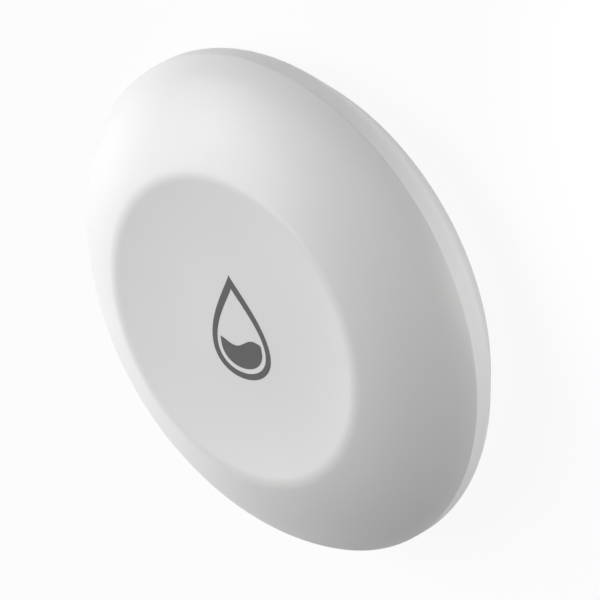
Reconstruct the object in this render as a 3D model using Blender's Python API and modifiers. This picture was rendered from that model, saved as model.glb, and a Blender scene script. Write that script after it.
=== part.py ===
# Water leak sensor: a round battery powered puck that lies on the floor.
# The top cover is a thin dome with a shallow dish, whose flat middle has a printed drop.
# The base has a short upright band, a sloping underside and four probe contacts,
# on which the puck stands. A circuit board, a coin cell and its holder are inside.
# +Z is up, +Y is the way the drop points, and the origin is under the centre.

import math

import bmesh
import bpy
from mathutils import Matrix, Vector

mm = 0.001

# Fits
seat_gap = 0.3 * mm          # between a piece and what it rests on
seam_gap = 0.2 * mm          # seam between the cover and the base
hole_clearance = 0.3 * mm    # round a shank in its hole
turn_steps = 60              # facets round the housing
seal_steps = 48              # facets round the case seal
battery_steps = 28           # facets round the coin cell and its holder
small_steps = 16             # facets round a small turned piece that shows
hidden_steps = 12            # facets round a small turned piece inside
arc_steps = 4                # facets along an arc of a profile that shows
small_arc_steps = 3          # facets along a small or hidden arc
seal_sides = 6               # facets round the section of a seal
crease_angle = math.radians(35.0)  # a sharper edge than this is shaded as an edge
cut_spare = 1.0 * mm         # how far a cutter stands past the face that it cuts

# Base shell
stand_off = 1.0 * mm         # floor to the underside of the base
base_height = 6.0 * mm       # underside of the base to the seam
band_radius = 30.0 * mm
band_height = 2.2 * mm       # upright band below the seam
band_round = 2.0 * mm        # between the band and the slope under it
undercut_angle = math.radians(43.0)  # between that slope and upright
underside_round = 1.0 * mm
floor_thickness = 1.6 * mm
rim_outer_wall = 1.5 * mm    # outside the seal channel
rim_inner_wall = 1.3 * mm    # inside the seal channel
seal_thickness = 1.2 * mm
channel_depth = 2.6 * mm

# Top cover
head_room = 0.45 * mm        # between the tallest part on the board and the middle of the dish
cover_wall = 1.8 * mm
dome_width = 11.7 * mm       # crest of the lip out to the edge of the band
lip_round = 3.4 * mm
dish_depth = 0.75 * mm
print_margin = 0.2 * mm      # flat of the dish past the ends of the drop
crown_round = 28.2 * mm
shoulder_round = 10.0 * mm
edge_slope = math.radians(61.0)  # slope of the dome where it meets the band
light_pocket_radius = 2.4 * mm
light_window = 0.8 * mm      # plastic left over the status light

# Printed drop
drop_height = 12.8 * mm
drop_width = 9.0 * mm
drop_taper = 1.3             # a higher power gives a finer tip
drop_line = 0.75 * mm        # line at the sides and the foot
drop_tip_line = 1.64 * mm    # line at the tip
water_gap = 0.57 * mm        # between the line and the water
water_tip_gap = 0.86 * mm    # the same at the tip, where the wave cuts it away
water_level = 8.3 * mm       # tip of the drop to the middle of the wave
wave_height = 0.46 * mm
wave_length = 5.7 * mm
wave_trough = 0.9 * mm       # trough to the left of the middle
print_depth = 0.1 * mm
outline_points = 40
hole_points = 36
water_points = 72
wave_points = 14

# Probe contacts
probe_count = 4
probe_head_radius = 2.6 * mm
probe_head_height = 1.3 * mm
probe_tip_radius = 1.8 * mm
probe_shank_radius = 1.25 * mm
probe_seal_thickness = 0.8 * mm
probe_boss_wall = 1.2 * mm
probe_boss_roof = 1.2 * mm
nut_sides = 6
nut_width = 5.0 * mm         # across its flats
nut_height = 1.6 * mm
shank_past_nut = 0.5 * mm
spring_radius = 2.0 * mm
spring_wire = 0.4 * mm
spring_turns = 2.5
spring_turn_steps = 8

# Case screws
case_screw_count = 4
case_head_radius = 2.2 * mm
case_head_height = 1.5 * mm
case_shank_radius = 1.25 * mm
case_shank_length = 7.0 * mm
case_recess_depth = 2.4 * mm
case_boss_wall = 1.2 * mm
case_boss_merge = 0.3 * mm   # how far the boss runs into the rim's wall
case_boss_roof = 1.4 * mm
post_radius = 2.7 * mm
post_hole_spare = 0.5 * mm   # pilot hole past the end of the screw
rib_thickness = 1.0 * mm
rib_height = 1.4 * mm
screw_slot_width = 0.6 * mm
screw_slot_depth = 0.8 * mm
screw_slot_reach = 0.55      # share of the head's radius
screw_head_crown = 0.3       # share of the head's height
screw_tip = 0.5              # share of the shank's radius

# Circuit board
board_thickness = 1.0 * mm
board_edge_gap = 1.9 * mm    # edge of the board to the rim's wall
notch_clearance = 0.4 * mm
board_screw_inset = 3.0 * mm  # edge of the board to the screw's axis
board_screw_angles = (67.5, 202.5, 337.5)
board_post_radius = 2.2 * mm
board_head_radius = 1.8 * mm
board_head_height = 1.3 * mm
board_shank_radius = 1.0 * mm
board_shank_length = 3.8 * mm

# Battery
cell_radius = 10.0 * mm
cell_height = 3.2 * mm
cell_cap_inset = 1.2 * mm
cell_cap_height = 0.3 * mm
cell_round = 0.5 * mm
cell_round_steps = 2
holder_plate = 0.8 * mm
holder_wall = 1.2 * mm
holder_notch_width = 8.0 * mm
holder_notch_depth = 2.0 * mm
contact_thickness = 0.3 * mm
contact_width = 4.0 * mm
contact_foot = 2.0 * mm
contact_reach = 8.0 * mm     # length that lies along the cell

# Parts on the board
shield_length = 11.0 * mm
shield_width = 9.0 * mm
shield_height = 1.7 * mm
antenna_length = 7.0 * mm
antenna_width = 2.0 * mm
antenna_height = 1.2 * mm
chip_side = 4.0 * mm
chip_height = 0.9 * mm
crystal_length = 3.2 * mm
crystal_width = 2.5 * mm
crystal_height = 0.8 * mm
capacitor_length = 7.3 * mm
capacitor_width = 4.3 * mm
capacitor_height = 1.8 * mm
light_length = 3.2 * mm
light_width = 2.8 * mm
light_height = 1.6 * mm
part_spacing = 1.2 * mm      # between neighbouring parts
shield_shift = 0.8 * mm      # the shield's middle past that of the light
antenna_inset = 7.5 * mm     # edge of the board to the antenna's middle
shield_rounding = 0.3 * mm
part_rounding = 0.15 * mm

# Heights and radii that follow from the sizes above
base_underside = stand_off
floor_top = base_underside + floor_thickness
seam_height = base_underside + base_height
rim_height = seam_height - seam_gap
channel_width = seal_thickness + 2.0 * seat_gap
channel_outer = band_radius - rim_outer_wall
channel_inner = channel_outer - channel_width
channel_floor = rim_height - channel_depth
base_inner_radius = channel_inner - rim_inner_wall
seal_centre_radius = 0.5 * (channel_outer + channel_inner)
seal_centre_height = channel_floor + seat_gap + 0.5 * seal_thickness
tongue_outer = channel_outer - seat_gap
tongue_inner = channel_inner + seat_gap
tongue_bottom = seal_centre_height + 0.5 * seal_thickness + seat_gap

positive_height = floor_top + seat_gap + 0.5 * contact_thickness
cell_bottom = positive_height + 0.5 * contact_thickness + seat_gap
cell_top = cell_bottom + cell_height
negative_height = cell_top + seat_gap + 0.5 * contact_thickness
holder_foot = cell_bottom
holder_underside = negative_height + 0.5 * contact_thickness + seat_gap
holder_top = holder_underside + holder_plate
holder_inner_radius = cell_radius + seat_gap
holder_outer_radius = holder_inner_radius + holder_wall
cell_cap_radius = cell_radius - cell_cap_inset

board_height = holder_top + seat_gap
board_top = board_height + board_thickness
board_radius = base_inner_radius - board_edge_gap
board_screw_circle = board_radius - board_screw_inset
board_post_bottom = board_top + seat_gap
board_head_top = board_height - seat_gap
board_hole_radius = board_shank_radius + hole_clearance
board_post_hole_top = board_head_top + board_shank_length + seat_gap
contact_side = holder_outer_radius + seat_gap + 0.5 * contact_thickness
contact_foot_height = board_height - seat_gap - 0.5 * contact_thickness
tallest_part = max(
    shield_height, antenna_height, chip_height, crystal_height, capacitor_height, light_height
)
dish_floor = board_top + seat_gap + tallest_part + head_room + cover_wall
dish_flat = 0.5 * drop_height + print_margin
cover_top = dish_floor + dish_depth
lip_radius = band_radius - dome_width

probe_circle = 0.5 * (holder_outer_radius + base_inner_radius)
probe_hole_radius = probe_shank_radius + hole_clearance
probe_pocket_radius = probe_head_radius + hole_clearance
probe_pocket_top = probe_head_height + probe_seal_thickness + 2.0 * seat_gap
probe_boss_top = probe_pocket_top + probe_boss_roof
nut_bottom = probe_boss_top + seat_gap
nut_top = nut_bottom + nut_height

case_seat = base_underside + case_recess_depth
case_boss_top = case_seat + case_boss_roof
case_recess_radius = case_head_radius + hole_clearance
case_boss_radius = case_recess_radius + case_boss_wall
case_screw_circle = base_inner_radius + case_boss_merge - case_boss_radius
case_hole_radius = case_shank_radius + hole_clearance
case_head_top = case_seat - seat_gap
post_bottom = case_boss_top + seat_gap
post_hole_top = case_head_top + case_shank_length + post_hole_spare


def remove_old_objects():
    for old in list(bpy.data.objects):
        bpy.data.objects.remove(old, do_unlink=True)


def new_collection(name):
    collection = bpy.data.collections.new(name)
    bpy.context.scene.collection.children.link(collection)
    return collection


remove_old_objects()
sensor = new_collection("Water leak sensor")
tools = new_collection("Cutters and added shapes")


def material(name, colour, roughness, metallic=0.0):
    made = bpy.data.materials.new(name)
    made.use_nodes = True
    shader = made.node_tree.nodes["Principled BSDF"]
    shader.inputs["Base Color"].default_value = (*colour, 1.0)
    shader.inputs["Roughness"].default_value = roughness
    shader.inputs["Metallic"].default_value = metallic
    return made


white_plastic = material("white_moulded_abs", (0.80, 0.80, 0.80), 0.45)
seal_rubber = material("silicone_rubber", (0.05, 0.05, 0.05), 0.70)
board_laminate = material("green_board_laminate", (0.02, 0.16, 0.07), 0.45)
holder_plastic = material("black_nylon", (0.03, 0.03, 0.03), 0.55)
cell_steel = material("nickel_plated_cell_steel", (0.62, 0.61, 0.58), 0.25, 1.0)
spring_metal = material("nickel_plated_spring_strip", (0.66, 0.64, 0.58), 0.30, 1.0)
probe_steel = material("stainless_probe_steel", (0.60, 0.60, 0.60), 0.22, 1.0)
screw_steel = material("zinc_plated_screw_steel", (0.55, 0.56, 0.58), 0.35, 1.0)
shield_tin = material("tinned_shield_steel", (0.70, 0.70, 0.71), 0.30, 1.0)
chip_resin = material("black_moulding_resin", (0.02, 0.02, 0.02), 0.50)
light_resin = material("pale_light_resin", (0.85, 0.84, 0.76), 0.30)
antenna_ceramic = material("white_antenna_ceramic", (0.78, 0.77, 0.72), 0.40)


def add_object(name, data, finish=None):
    """A finished piece has a material. A cutter or added shape has none."""
    made = bpy.data.objects.new(name, data)
    if finish is None:
        tools.objects.link(made)
        made.hide_render = True
        made.display_type = "WIRE"
    else:
        sensor.objects.link(made)
        data.materials.clear()
        data.materials.append(finish)
    return made


def shade_round(mesh):
    mesh.shade_smooth()
    mesh.set_sharp_from_angle(angle=crease_angle)


def baked_mesh(source):
    """The evaluated shape of an object as a welded mesh. The object is removed.

    Points are rounded to a millionth of a millimetre, so that those that should lie
    in one plane do so exactly.
    """
    bpy.context.view_layer.update()
    graph = bpy.context.evaluated_depsgraph_get()
    mesh = bpy.data.meshes.new_from_object(source.evaluated_get(graph))
    mesh.transform(source.matrix_world)
    mesh.name = source.name
    welded = bmesh.new()
    welded.from_mesh(mesh)
    bmesh.ops.remove_doubles(welded, verts=welded.verts, dist=0.001 * mm)
    for point in welded.verts:
        point.co = [round(value, 9) for value in point.co]
    welded.to_mesh(mesh)
    welded.free()
    bpy.data.objects.remove(source, do_unlink=True)
    return mesh


def turned_mesh(name, profile, steps, first_turn=0.0):
    """Turns a profile of (radius, height) points about Z, from a first angle on."""
    line = bmesh.new()
    points = [line.verts.new((radius, 0.0, height)) for radius, height in profile]
    for first, second in zip(points, points[1:]):
        line.edges.new((first, second))
    mesh = bpy.data.meshes.new(name)
    line.to_mesh(mesh)
    line.free()
    blank = add_object(name + "_profile", mesh)
    turn = blank.modifiers.new("Turn", "SCREW")
    turn.axis = "Z"
    turn.steps = steps
    turn.render_steps = steps
    turn.use_merge_vertices = True
    turn.merge_threshold = 0.001 * mm
    blank.rotation_euler.z = first_turn
    solid = baked_mesh(blank)
    shade_round(solid)
    return solid


def round_boss(name, profile, steps):
    """A turned post or boss, with a flat and not a corner towards the middle."""
    return turned_mesh(name, profile, steps, math.pi / steps)


def round_hole(name, profile, steps):
    """A turned cutter. Its corners lie between those of a boss, so that no edges coincide."""
    return turned_mesh(name, profile, steps, 0.5 * math.pi / steps)


def copied_mesh(name, mesh, places):
    """One mesh with a copy of another at each place, for a single cut or union."""
    gathered = bmesh.new()
    for place in places:
        one = mesh.copy()
        one.transform(place)
        gathered.from_mesh(one)
        bpy.data.meshes.remove(one)
    joined = bpy.data.meshes.new(name)
    gathered.to_mesh(joined)
    gathered.free()
    return joined


def box_mesh(name, low, high):
    cube = bmesh.new()
    bmesh.ops.create_cube(cube, size=1.0)
    middle = 0.5 * (Vector(low) + Vector(high))
    size = Vector(high) - Vector(low)
    bmesh.ops.scale(cube, vec=size, verts=cube.verts)
    bmesh.ops.translate(cube, vec=middle, verts=cube.verts)
    mesh = bpy.data.meshes.new(name)
    cube.to_mesh(mesh)
    cube.free()
    return mesh


def combine(target, tool, operation):
    step = target.modifiers.new(tool.name, "BOOLEAN")
    step.object = tool
    step.operation = operation
    step.solver = "EXACT"


def cut_copies(target, name, mesh, places):
    combine(target, add_object(name, copied_mesh(name, mesh, places)), "DIFFERENCE")


def add_copies(target, name, mesh, places):
    combine(target, add_object(name, copied_mesh(name, mesh, places)), "UNION")


def add_bevel(target, width):
    bevel = target.modifiers.new("Rounded edges", "BEVEL")
    bevel.width = width
    bevel.segments = 1
    bevel.limit_method = "ANGLE"
    bevel.angle_limit = crease_angle


def polar(radius, degrees):
    angle = math.radians(degrees)
    return Vector((radius * math.cos(angle), radius * math.sin(angle), 0.0))


def ring_angles(count, first):
    return [first + 360.0 * index / count for index in range(count)]


def ring_places(radius, angles):
    """Places on a circle, each turned so that its own +X points away from the middle."""
    places = []
    for degrees in angles:
        turn = Matrix.Rotation(math.radians(degrees), 4, "Z")
        places.append(Matrix.Translation(polar(radius, degrees)) @ turn)
    return places


def arc(centre, radius, first, last, steps):
    """Points on an arc. An angle of 0 is straight up and a positive one leans outwards."""
    points = []
    for index in range(steps + 1):
        angle = first + (last - first) * index / steps
        points.append((centre[0] + radius * math.sin(angle), centre[1] + radius * math.cos(angle)))
    return points


def rounded(before, corner, after, radius, steps):
    """The arc that rounds the corner between two straight lines."""
    corner = Vector(corner)
    inward = (Vector(before) - corner).normalized()
    outward = (Vector(after) - corner).normalized()
    half = 0.5 * inward.angle(outward)
    middle = corner + (inward + outward).normalized() * (radius / math.sin(half))
    start = corner + inward * (radius / math.tan(half)) - middle
    end = corner + outward * (radius / math.tan(half)) - middle
    first = math.atan2(start.x, start.y)
    last = math.atan2(end.x, end.y)
    return arc(middle, radius, first, last, steps)


def dome_circles():
    """Centres of the lip, crown and shoulder arcs. Each arc runs into the next one."""
    lip = Vector((lip_radius, cover_top - lip_round))
    edge_normal = Vector((math.sin(edge_slope), math.cos(edge_slope)))
    shoulder = Vector((band_radius, seam_height)) - shoulder_round * edge_normal
    # The crown's centre is as far from each as the two circles touch from inside.
    to_lip = crown_round - lip_round
    to_shoulder = crown_round - shoulder_round
    line = shoulder - lip
    along = (line.length_squared + to_lip ** 2 - to_shoulder ** 2) / (2.0 * line.length)
    across = math.sqrt(to_lip ** 2 - along ** 2)
    direction = line.normalized()
    side = Vector((direction.y, -direction.x))
    crown = lip + direction * along + side * across
    if crown.y > lip.y:
        crown = lip + direction * along - side * across
    return lip, crown, shoulder


lip_centre, crown_centre, shoulder_centre = dome_circles()
cove_width = lip_radius - dish_flat
cove_slope = 2.0 * math.atan(dish_depth / cove_width)
cove_round = cove_width / math.sin(cove_slope) - lip_round
cove_centre = (dish_flat, dish_floor + cove_round)
lip_slope = math.atan2(lip_centre.x - crown_centre.x, lip_centre.y - crown_centre.y)
shoulder_slope = math.atan2(shoulder_centre.x - crown_centre.x, shoulder_centre.y - crown_centre.y)


def dish_points(depth, first_radius, steps):
    """The flat of the dish and the cove up to its lip, or a surface at this depth under them."""
    flat = [(first_radius, dish_floor - depth)]
    return flat + arc(cove_centre, cove_round + depth, math.pi, math.pi - cove_slope, steps)


def cover_outer_points():
    points = dish_points(0.0, 0.0, arc_steps)
    points += arc(lip_centre, lip_round, -cove_slope, lip_slope, arc_steps)[1:]
    points += arc(crown_centre, crown_round, lip_slope, shoulder_slope, arc_steps + 1)[1:]
    points += arc(shoulder_centre, shoulder_round, shoulder_slope, edge_slope, arc_steps)[1:]
    return points


def under_dome_points(depth, first_radius, last_radius):
    """A surface at this depth under the dome, from a first radius out to a last one."""
    crown_under = crown_round - depth
    crown_end = math.asin((last_radius - crown_centre.x) / crown_under)
    points = dish_points(depth, first_radius, small_arc_steps)
    points += arc(lip_centre, lip_round - depth, -cove_slope, lip_slope, small_arc_steps - 1)[1:]
    points += arc(crown_centre, crown_under, lip_slope, crown_end, arc_steps)[1:]
    return points


def cover_profile():
    """The whole wall of the cover: dome, rim, tongue, inner face and light pocket."""
    pocket_top = dish_floor - light_window
    profile = cover_outer_points()
    profile.append((tongue_outer, seam_height))
    profile.append((tongue_outer, tongue_bottom))
    profile.append((tongue_inner, tongue_bottom))
    profile += reversed(under_dome_points(cover_wall, light_pocket_radius, tongue_inner))
    profile.append((light_pocket_radius, pocket_top))
    profile.append((0.0, pocket_top))
    return profile


def tube_profile(radius, low, high):
    return [(0.0, high), (radius, high), (radius, low), (0.0, low)]


def drop_outline(top, bottom, half_width, count):
    """A water drop as a closed curve: a round foot that tapers to a tip at the top."""
    half_height = 0.5 * (top - bottom)
    middle = 0.5 * (top + bottom)
    widest = math.acos(-drop_taper / (2.0 + drop_taper))
    scale = half_width / (math.sin(widest) * math.sin(0.5 * widest) ** drop_taper)
    points = []
    for index in range(count):
        turn = 2.0 * math.pi * index / count
        across = scale * math.sin(turn) * math.sin(0.5 * turn) ** drop_taper
        points.append((across, middle + half_height * math.cos(turn)))
    return points


def wave_at(across):
    """Height of the water's surface inside the drop."""
    middle = 0.5 * drop_height - water_level
    return middle - wave_height * math.cos(2.0 * math.pi * (across + wave_trough) / wave_length)


def water_outline():
    """The filled foot of the drop, closed at the top by a wave."""
    bottom = -0.5 * drop_height + drop_line + water_gap
    top = 0.5 * drop_height - drop_tip_line - water_tip_gap
    whole = drop_outline(top, bottom, 0.5 * drop_width - drop_line - water_gap, water_points)
    wet = [point for point in whole if point[1] < wave_at(point[0])]
    right = wet[0]
    left = wet[-1]
    surface = []
    for index in range(wave_points + 1):
        across = left[0] + (right[0] - left[0]) * index / wave_points
        surface.append((across, wave_at(across)))
    return wet + surface


def drop_tool():
    """The drop's line and its water as upright prisms, which reach a little into the dish."""
    flat = bpy.data.curves.new("drop_print", "CURVE")
    flat.dimensions = "2D"
    flat.fill_mode = "BOTH"
    flat.extrude = 0.5 * (print_depth + cut_spare)
    half = 0.5 * drop_height
    inner_top = half - drop_tip_line
    inner_bottom = drop_line - half
    inner_half_width = 0.5 * drop_width - drop_line
    outer = drop_outline(half, -half, 0.5 * drop_width, outline_points)
    inner = drop_outline(inner_top, inner_bottom, inner_half_width, hole_points)
    for outline in (outer, inner, water_outline()):
        spline = flat.splines.new("POLY")
        spline.points.add(len(outline) - 1)
        for point, (across, along) in zip(spline.points, outline):
            point.co = (across, along, 0.0, 1.0)
        spline.use_cyclic_u = True
    sheet = add_object("drop_print", flat)
    sheet.location.z = dish_floor - print_depth + flat.extrude
    return add_object("drop_print_cutter", baked_mesh(sheet))


def case_angles():
    return ring_angles(case_screw_count, 0.0)


def probe_angles():
    return ring_angles(probe_count, 180.0 / probe_count)


def add_under_dome(cover, name, mesh, places, dome):
    """Adds posts or ribs that end in the middle of the cover's wall, whatever its slope."""
    added = add_object(name, copied_mesh(name, mesh, places))
    combine(added, dome, "INTERSECT")
    combine(cover, added, "UNION")


def make_top_cover():
    """Moulded dome with a dish, a seal tongue, screw posts, board posts and ribs."""
    shell = turned_mesh("top_cover", cover_profile(), turn_steps)
    cover = add_object("top_cover", shell, white_plastic)
    dome_profile = under_dome_points(0.5 * cover_wall, 0.0, tongue_outer)
    dome_profile.append((tongue_outer, 0.0))
    dome_profile.append((0.0, 0.0))
    dome = add_object("under_dome", turned_mesh("under_dome", dome_profile, turn_steps))

    case_places = ring_places(case_screw_circle, case_angles())
    board_places = ring_places(board_screw_circle, board_screw_angles)
    post_profile = tube_profile(post_radius, post_bottom, cover_top)
    stub_profile = tube_profile(board_post_radius, board_post_bottom, cover_top)
    post = round_boss("case_post", post_profile, hidden_steps)
    stub = round_boss("board_post", stub_profile, hidden_steps)
    rib_bottom = seam_height + seat_gap
    rib_low = (0.0, -0.5 * rib_thickness, rib_bottom)
    rib_high = (tongue_outer - case_screw_circle, 0.5 * rib_thickness, rib_bottom + rib_height)
    add_under_dome(cover, "case_posts", post, case_places, dome)
    add_under_dome(cover, "board_posts", stub, board_places, dome)
    add_under_dome(cover, "post_ribs", box_mesh("post_rib", rib_low, rib_high), case_places, dome)

    post_hole_profile = tube_profile(case_hole_radius, post_bottom - cut_spare, post_hole_top)
    stub_hole_bottom = board_post_bottom - cut_spare
    stub_hole_profile = tube_profile(board_hole_radius, stub_hole_bottom, board_post_hole_top)
    post_hole = round_hole("case_pilot", post_hole_profile, hidden_steps)
    stub_hole = round_hole("board_pilot", stub_hole_profile, hidden_steps)
    cut_copies(cover, "case_pilots", post_hole, case_places)
    cut_copies(cover, "board_pilots", stub_hole, board_places)
    combine(cover, drop_tool(), "DIFFERENCE")


def base_profile():
    """The whole wall of the base: floor, rim with its seal channel, band and slope."""
    band_corner = (band_radius, seam_height - band_height)
    slope_inset = (band_corner[1] - base_underside) * math.tan(undercut_angle)
    underside_corner = (band_radius - slope_inset, base_underside)
    profile = [
        (0.0, floor_top),
        (base_inner_radius, floor_top),
        (base_inner_radius, rim_height),
        (channel_inner, rim_height),
        (channel_inner, channel_floor),
        (channel_outer, channel_floor),
        (channel_outer, rim_height),
        (band_radius, rim_height),
    ]
    middle = (0.0, base_underside)
    profile += rounded(profile[-1], band_corner, underside_corner, band_round, arc_steps)
    profile += rounded(band_corner, underside_corner, middle, underside_round, small_arc_steps)
    profile.append(middle)
    return profile


def pocket_profile(pocket_radius, pocket_top, hole_radius, boss_top):
    """A wide pocket from below with a narrower hole that goes on through the boss."""
    above = boss_top + cut_spare
    below = base_underside - cut_spare
    return [
        (0.0, above),
        (hole_radius, above),
        (hole_radius, pocket_top),
        (pocket_radius, pocket_top),
        (pocket_radius, below),
        (0.0, below),
    ]


def make_base_shell():
    """Moulded base with a seal channel, and a boss for each probe and each case screw."""
    shell = turned_mesh("base_shell", base_profile(), turn_steps)
    base = add_object("base_shell", shell, white_plastic)
    boss_root = 0.5 * (base_underside + floor_top)

    probe_places = ring_places(probe_circle, probe_angles())
    probe_boss_radius = probe_pocket_radius + probe_boss_wall
    probe_boss_profile = tube_profile(probe_boss_radius, boss_root, probe_boss_top)
    probe_boss = round_boss("probe_boss", probe_boss_profile, small_steps)
    probe_cut_profile = pocket_profile(
        probe_pocket_radius, probe_pocket_top, probe_hole_radius, probe_boss_top
    )
    probe_cut = round_hole("probe_pocket", probe_cut_profile, small_steps)

    case_places = ring_places(case_screw_circle, case_angles())
    case_boss_profile = tube_profile(case_boss_radius, boss_root, case_boss_top)
    case_boss = round_boss("case_boss", case_boss_profile, small_steps)
    case_cut_profile = pocket_profile(
        case_recess_radius, case_seat, case_hole_radius, case_boss_top
    )
    case_cut = round_hole("case_recess", case_cut_profile, small_steps)

    add_copies(base, "probe_bosses", probe_boss, probe_places)
    add_copies(base, "case_bosses", case_boss, case_places)
    cut_copies(base, "probe_pockets", probe_cut, probe_places)
    cut_copies(base, "case_recesses", case_cut, case_places)


def add_seal(name, centre, centre_radius, thickness, steps):
    bpy.ops.mesh.primitive_torus_add(
        location=centre,
        major_segments=steps,
        minor_segments=seal_sides,
        major_radius=centre_radius,
        minor_radius=0.5 * thickness,
    )
    ring = bpy.context.object
    for collection in list(ring.users_collection):
        collection.objects.unlink(ring)
    sensor.objects.link(ring)
    ring.name = name
    ring.data.name = name
    ring.data.materials.append(seal_rubber)
    ring.data.shade_smooth()


def make_seal_ring():
    """The round cord that the cover's tongue presses into the channel of the base."""
    centre = (0.0, 0.0, seal_centre_height)
    add_seal("seal_ring", centre, seal_centre_radius, seal_thickness, seal_steps)


def probe_profile():
    """A broad head with a rounded, flat ended foot, and a shank that passes through the base."""
    foot_round = probe_head_radius - probe_tip_radius
    foot_centre = (probe_tip_radius, foot_round)
    foot = arc(foot_centre, foot_round, 0.5 * math.pi, math.pi, small_arc_steps)
    profile = [
        (0.0, nut_top + shank_past_nut),
        (probe_shank_radius, nut_top + shank_past_nut),
        (probe_shank_radius, probe_head_height),
        (probe_head_radius, probe_head_height),
    ]
    profile += foot
    profile.append((0.0, 0.0))
    return profile


def make_probes():
    """Each probe with its seal under the base, its nut inside and its spring to the board."""
    stud_mesh = turned_mesh("probe_contact", probe_profile(), small_steps)
    nut_mesh = nut_shape()
    seal_radius = probe_shank_radius + hole_clearance + 0.5 * probe_seal_thickness
    seal_height = probe_head_height + seat_gap + 0.5 * probe_seal_thickness
    for number, degrees in enumerate(probe_angles(), start=1):
        place = polar(probe_circle, degrees)
        stud = add_object(f"probe_contact_{number}", stud_mesh, probe_steel)
        stud.location = place
        nut = add_object(f"probe_nut_{number}", nut_mesh, screw_steel)
        nut.location = place
        nut.rotation_euler.z = math.radians(degrees)
        centre = place + Vector((0.0, 0.0, seal_height))
        add_seal(f"probe_seal_{number}", centre, seal_radius, probe_seal_thickness, hidden_steps)
        make_spring(number, place, math.radians(degrees))


def nut_shape():
    """A plain hexagon nut, with its hole clear of the shank."""
    corner_radius = 0.5 * nut_width / math.cos(math.pi / nut_sides)
    body_profile = tube_profile(corner_radius, nut_bottom, nut_top)
    body = add_object("nut_body", turned_mesh("nut_body", body_profile, nut_sides))
    hole_profile = tube_profile(probe_hole_radius, nut_bottom - cut_spare, nut_top + cut_spare)
    hole = add_object("nut_hole", round_hole("nut_hole", hole_profile, hidden_steps))
    combine(body, hole, "DIFFERENCE")
    return baked_mesh(body)


def make_spring(number, place, turn):
    """A short coil spring between the nut and the pad on the underside of the board."""
    low = nut_top + seat_gap + 0.5 * spring_wire
    high = board_height - seat_gap - 0.5 * spring_wire
    count = int(spring_turns * spring_turn_steps) + 1
    wire = bpy.data.curves.new(f"probe_spring_{number}", "CURVE")
    wire.dimensions = "3D"
    wire.bevel_depth = 0.5 * spring_wire
    wire.bevel_resolution = 1
    wire.use_fill_caps = True
    spline = wire.splines.new("POLY")
    spline.points.add(count - 1)
    for index, point in enumerate(spline.points):
        share = index / (count - 1)
        angle = turn + 2.0 * math.pi * spring_turns * share
        height = low + (high - low) * share
        point.co = (spring_radius * math.cos(angle), spring_radius * math.sin(angle), height, 1.0)
    spring = add_object(f"probe_spring_{number}", wire, spring_metal)
    spring.location = place


def screw_profile(head_radius, head_height, shank_radius, shank_length, head_top):
    """A pan head screw that points up. Its shank stands for the thread's outer size."""
    tip = head_top + shank_length
    head_bottom = head_top - head_height
    crown = screw_head_crown * head_height
    return [
        (0.0, tip),
        (screw_tip * shank_radius, tip),
        (shank_radius, tip - shank_radius),
        (shank_radius, head_top),
        (head_radius, head_top),
        (head_radius, head_bottom + crown),
        (head_radius - crown, head_bottom),
        (0.0, head_bottom),
    ]


def cross_slot(name, reach, bottom, top):
    """A cross shaped driver slot, as one body."""
    half = 0.5 * screw_slot_width
    along = box_mesh(name, (-reach, -half, bottom), (reach, half, top))
    across = box_mesh(name + "_bar", (-half, -reach, bottom), (half, reach, top))
    first = add_object(name, along)
    second = add_object(name + "_bar", across)
    combine(first, second, "UNION")
    cross = baked_mesh(first)
    bpy.data.objects.remove(second, do_unlink=True)
    return cross


def screw_mesh(name, head_radius, head_height, shank_radius, shank_length, head_top):
    profile = screw_profile(head_radius, head_height, shank_radius, shank_length, head_top)
    blank = add_object(name, turned_mesh(name, profile, hidden_steps))
    slot_mouth = head_top - head_height - cut_spare
    slot_end = head_top - head_height + screw_slot_depth
    cross = cross_slot(name + "_slot", screw_slot_reach * head_radius, slot_mouth, slot_end)
    slot = add_object(name + "_slot", cross)
    combine(blank, slot, "DIFFERENCE")
    return baked_mesh(blank)


def make_case_screws():
    """Four screws that pull the cover down onto the seal."""
    mesh = screw_mesh(
        "case_screw",
        case_head_radius,
        case_head_height,
        case_shank_radius,
        case_shank_length,
        case_head_top,
    )
    for number, degrees in enumerate(case_angles(), start=1):
        screw = add_object(f"case_screw_{number}", mesh, screw_steel)
        screw.location = polar(case_screw_circle, degrees)


def make_board_screws():
    """Three screws that hold the board up against the posts of the cover."""
    mesh = screw_mesh(
        "board_screw",
        board_head_radius,
        board_head_height,
        board_shank_radius,
        board_shank_length,
        board_head_top,
    )
    for number, degrees in enumerate(board_screw_angles, start=1):
        screw = add_object(f"board_screw_{number}", mesh, screw_steel)
        screw.location = polar(board_screw_circle, degrees)


def make_circuit_board():
    """A round board with a notch for each case post and a hole for each board screw."""
    disc_profile = tube_profile(board_radius, board_height, board_top)
    disc = turned_mesh("circuit_board", disc_profile, turn_steps)
    board = add_object("circuit_board", disc, board_laminate)
    below = board_height - cut_spare
    above = board_top + cut_spare
    notch_profile = tube_profile(post_radius + notch_clearance, below, above)
    hole_profile = tube_profile(board_hole_radius, below, above)
    notch = round_hole("board_notch", notch_profile, hidden_steps)
    hole = round_hole("board_hole", hole_profile, hidden_steps)
    cut_copies(board, "board_notches", notch, ring_places(case_screw_circle, case_angles()))
    cut_copies(board, "board_holes", hole, ring_places(board_screw_circle, board_screw_angles))


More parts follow.
